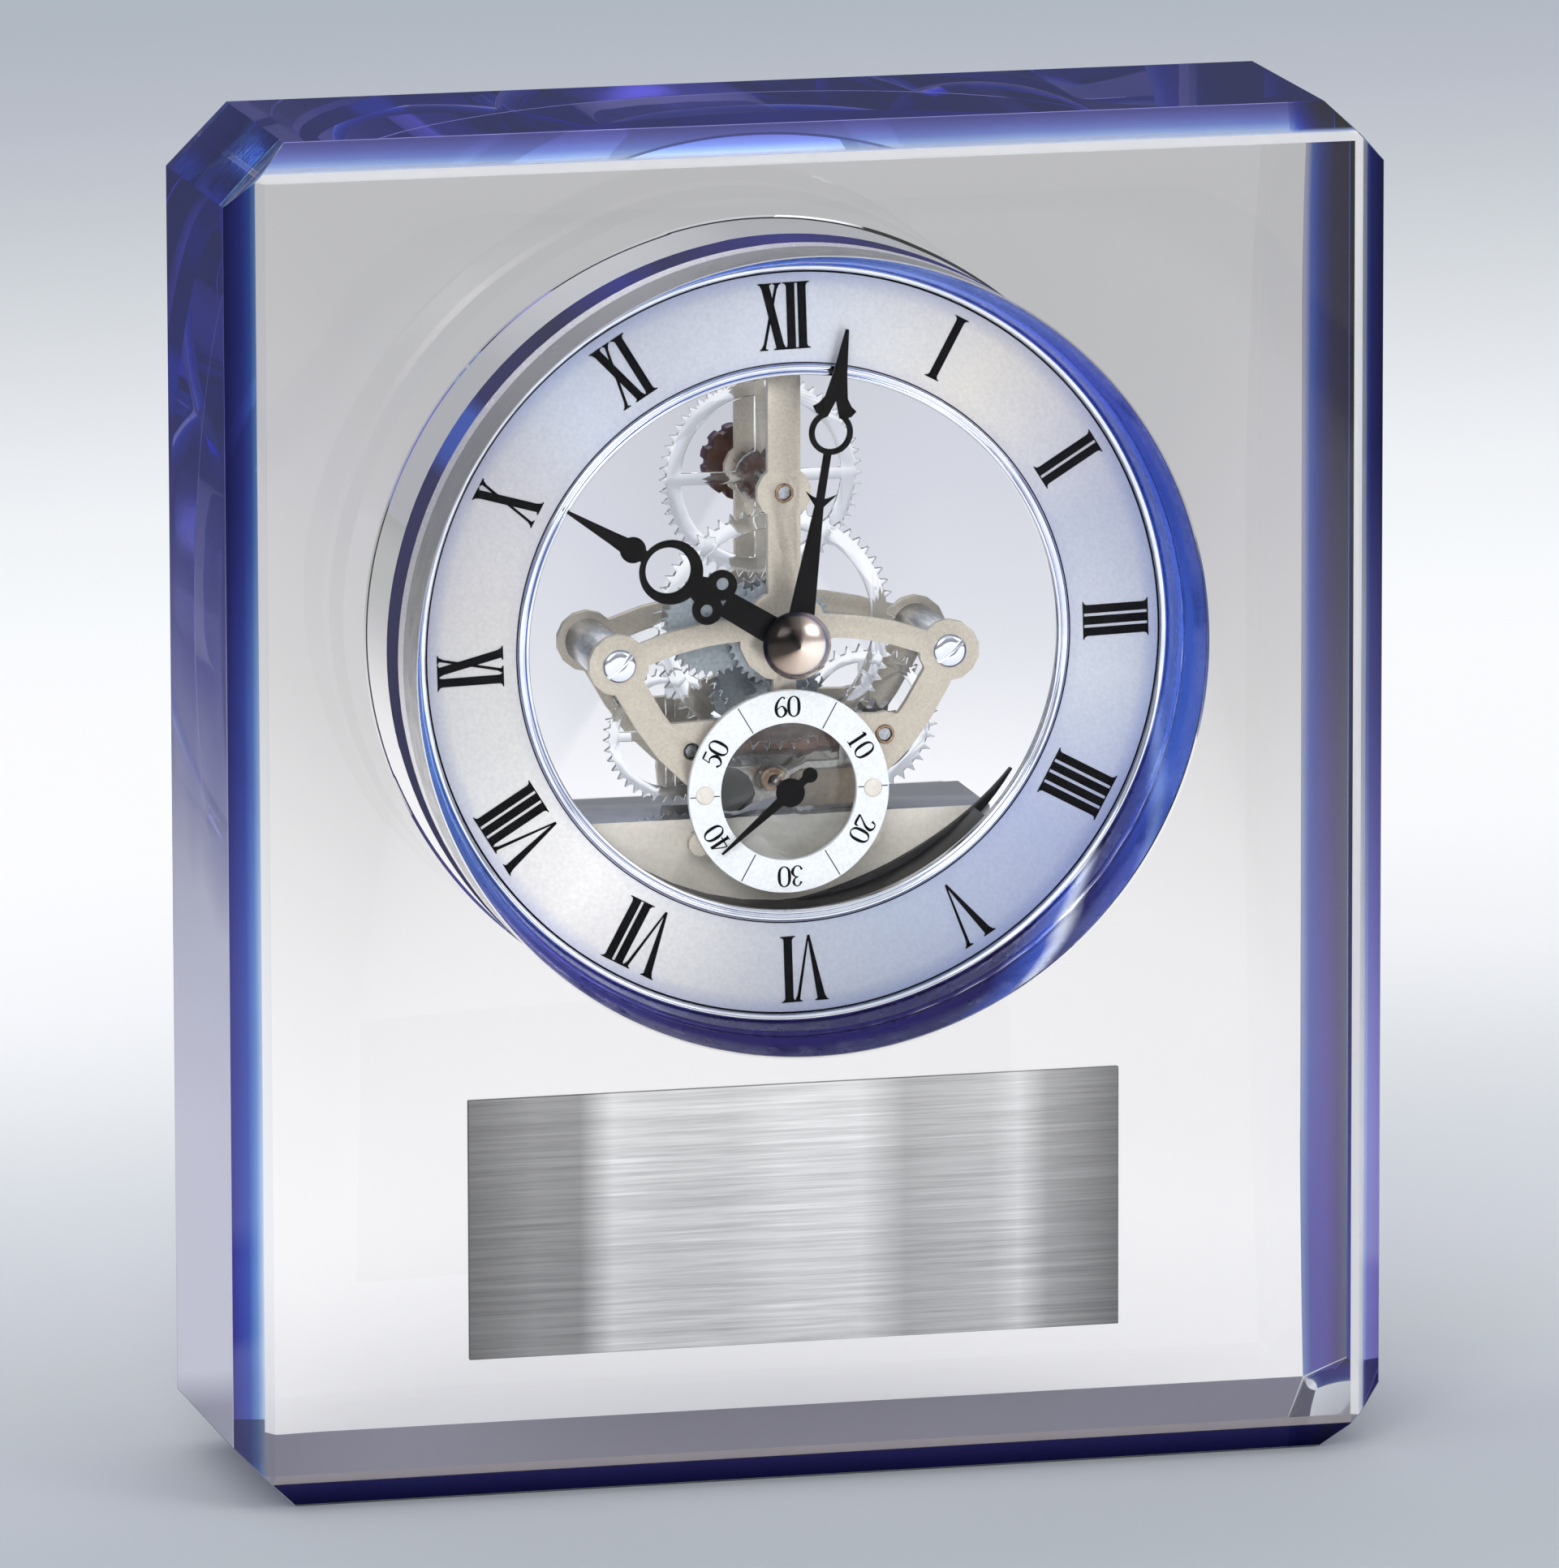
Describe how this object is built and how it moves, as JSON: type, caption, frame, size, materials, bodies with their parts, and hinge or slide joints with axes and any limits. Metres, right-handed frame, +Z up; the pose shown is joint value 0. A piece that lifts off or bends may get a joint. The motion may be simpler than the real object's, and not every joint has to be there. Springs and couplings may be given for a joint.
{
  "type": "crystal desk clock",
  "caption": "Bevelled clear glass block standing upright, with a round skeleton quartz clock set in its bore above a brushed metal nameplate.",
  "frame": {"origin": "middle of the flat bottom face that the block stands on", "axes": "+Z up, +Y from the dial towards the back cover, +X to the right as the viewer faces the dial"},
  "size_m": [0.1524, 0.0442, 0.177],
  "materials": {
    "optical_glass": "polished, ground bevels",
    "brushed_steel": "brushed lengthways, satin",
    "polished_chrome": "polished",
    "satin_silver": "satin, fine grained",
    "white_plastic": "smooth",
    "blue_rubber": "smooth, pressed against the glass",
    "clear_plastic": "clear moulded plastic",
    "black_plastic": "moulded",
    "white_dial": "matte white",
    "matte_nickel": "matte, fine grained",
    "turned_steel": "turned",
    "bronze": "turned, satin",
    "copper_winding": "enamelled wire",
    "stator_steel": "rolled sheet",
    "circuit_board": "lacquered board",
    "beige_plastic": "moulded, fine grain",
    "cell_jacket": "printed film",
    "black_enamel": "satin black",
    "polished_nickel": "polished, warm",
    "brown_plastic": "moulded, fluted"
  },
  "bodies": {
    "case": {"crystal_block": "optical_glass", "nameplate": "brushed_steel", "front_bezel": "polished_chrome", "front_lens": "optical_glass", "case_barrel": "satin_silver", "case_spacer": "white_plastic", "case_gasket": "blue_rubber", "rear_cover": "clear_plastic", "dial_ring": "satin_silver", "dial_inner_rim": "polished_chrome", "dial_arc_support": "black_plastic", "seconds_dial": "white_dial", "front_plate": "matte_nickel", "rear_plate": "matte_nickel", "rear_seconds_bridge": "matte_nickel", "pillar_left": "turned_steel", "pillar_right": "turned_steel", "plate_screw_left": "polished_chrome", "plate_screw_right": "polished_chrome", "plate_screw_top": "polished_chrome", "bush_top": "bronze", "bush_right": "bronze", "motion_stud": "turned_steel", "fourth_stud": "turned_steel", "idler_stud": "turned_steel", "motor_coil": "copper_winding", "motor_stator": "stator_steel", "rotor_housing": "black_plastic", "seconds_bush": "bronze", "circuit_board": "circuit_board", "battery_box": "beige_plastic", "battery_contact_plus": "turned_steel", "battery_contact_minus": "turned_steel", "battery_contact_spring": "turned_steel"},
    "centre": {"centre_arbor": "turned_steel", "centre_wheel": "clear_plastic", "setting_drive_wheel": "turned_steel", "minute_hand": "black_enamel", "dome_nut": "polished_nickel"},
    "hour": {"hour_pipe": "turned_steel", "hour_hand": "black_enamel"},
    "motion": {"minute_wheel": "turned_steel"},
    "third": {"third_arbor": "turned_steel", "third_wheel": "clear_plastic"},
    "fourth": {"fourth_wheel": "turned_steel"},
    "idler": {"idler_wheel": "turned_steel"},
    "seconds": {"seconds_arbor": "turned_steel", "seconds_wheel": "clear_plastic", "seconds_hand": "black_enamel"},
    "motor": {"motor_arbor": "turned_steel", "motor_wheel": "clear_plastic"},
    "setting": {"setting_arbor": "turned_steel", "setting_wheel": "clear_plastic", "setting_drum": "brown_plastic", "setting_knob": "black_plastic"},
    "battery": {"battery_cell": "cell_jacket"},
    "door": {"battery_door": "beige_plastic"}
  },
  "joints": [
    {"name": "seconds_spin", "type": "hinge", "parent": "case", "child": "seconds", "pos_m": [0, 0, 0.088], "axis": [0, 1, 0], "continuous": true},
    {"name": "idler_spin", "type": "hinge", "parent": "case", "child": "idler", "pos_m": [-0.0039, 0, 0.08986], "axis": [0, 1, 0], "continuous": true},
    {"name": "fourth_spin", "type": "hinge", "parent": "case", "child": "fourth", "pos_m": [0.0012, 0, 0.09813], "axis": [0, 1, 0], "continuous": true},
    {"name": "third_spin", "type": "hinge", "parent": "case", "child": "third", "pos_m": [0.0133, 0, 0.0945], "axis": [0, 1, 0], "continuous": true},
    {"name": "centre_spin", "type": "hinge", "parent": "case", "child": "centre", "pos_m": [0, 0, 0.108], "axis": [0, 1, 0], "continuous": true},
    {"name": "motion_spin", "type": "hinge", "parent": "case", "child": "motion", "pos_m": [-0.00855, 0, 0.1092], "axis": [0, 1, 0], "continuous": true},
    {"name": "hour_spin", "type": "hinge", "parent": "case", "child": "hour", "pos_m": [0, 0, 0.108], "axis": [0, 1, 0], "continuous": true},
    {"name": "setting_spin", "type": "hinge", "parent": "case", "child": "setting", "pos_m": [0, 0, 0.1267], "axis": [0, 1, 0], "continuous": true},
    {"name": "motor_spin", "type": "hinge", "parent": "case", "child": "motor", "pos_m": [-0.0123, 0, 0.0934], "axis": [0, 1, 0], "continuous": true},
    {"name": "door_slide", "type": "slide", "parent": "case", "child": "door", "axis": [0, 1, 0], "range_m": [0, 0.06]},
    {"name": "battery_slide", "type": "slide", "parent": "case", "child": "battery", "axis": [0, 1, 0], "range_m": [0, 0.04]}
  ],
  "couplings": [
    {"joint": "idler_spin", "follows": "seconds_spin", "ratio": -0.71429},
    {"joint": "fourth_spin", "follows": "seconds_spin", "ratio": 0.25},
    {"joint": "third_spin", "follows": "seconds_spin", "ratio": -0.083333},
    {"joint": "centre_spin", "follows": "seconds_spin", "ratio": 0.016667},
    {"joint": "motion_spin", "follows": "seconds_spin", "ratio": -0.0055556},
    {"joint": "hour_spin", "follows": "seconds_spin", "ratio": 0.0013889},
    {"joint": "setting_spin", "follows": "seconds_spin", "ratio": -0.0071429},
    {"joint": "motor_spin", "follows": "seconds_spin", "ratio": -5},
    {"joint": "battery_slide", "follows": "door_slide", "ratio": 0.55}
  ]
}
